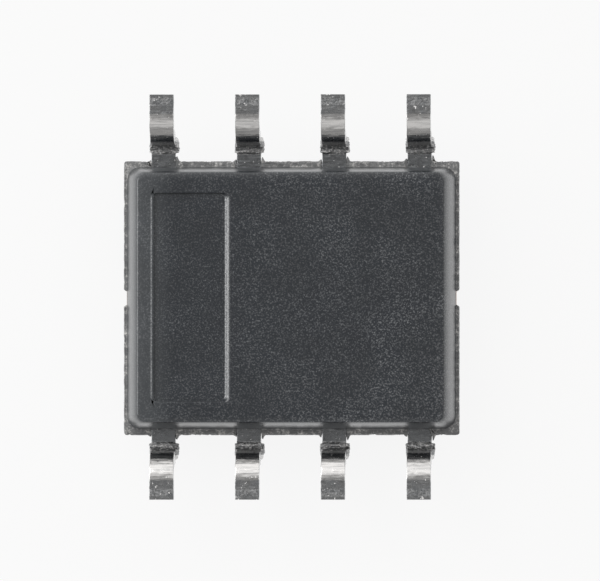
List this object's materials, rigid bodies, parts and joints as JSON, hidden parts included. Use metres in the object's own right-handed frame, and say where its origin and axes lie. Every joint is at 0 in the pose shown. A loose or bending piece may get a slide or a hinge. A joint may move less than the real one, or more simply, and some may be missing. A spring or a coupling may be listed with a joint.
{
  "type": "operational amplifier chip",
  "caption": "Operational amplifier chip in a small plastic package with gull-wing leads, lying on its back.",
  "frame": {"origin": "centre of the package's top face, which the chip lies on", "axes": "+Z out of the package's underside, on the side the feet stand out to; +X along the rows of leads, away from the end with the moulded recess; +Y across the rows, towards leads 1 to 4. Turn it 180 degrees about X to stand it on a board"},
  "size_m": [0.005, 0.006, 0.0016],
  "materials": {
    "epoxy_moulding": "matt, fine-grained from a spark-eroded mould",
    "tin_plate": "satin tin plate on copper alloy",
    "copper_alloy": "bare, cut and etched",
    "silver_epoxy": "cured silver-filled adhesive",
    "silicon": "polished and sawn",
    "gold": "drawn wire"
  },
  "bodies": {
    "root": {"moulded_body": "epoxy_moulding", "lead_1": "tin_plate", "lead_2": "tin_plate", "lead_3": "tin_plate", "lead_4": "tin_plate", "lead_5": "tin_plate", "lead_6": "tin_plate", "lead_7": "tin_plate", "lead_8": "tin_plate", "die_paddle": "copper_alloy", "die_attach_film": "silver_epoxy", "silicon_die": "silicon", "bond_wire_1": "gold", "bond_wire_2": "gold", "bond_wire_3": "gold", "bond_wire_4": "gold", "bond_wire_5": "gold", "bond_wire_6": "gold", "bond_wire_7": "gold", "bond_wire_8": "gold"}
  },
  "joints": []
}
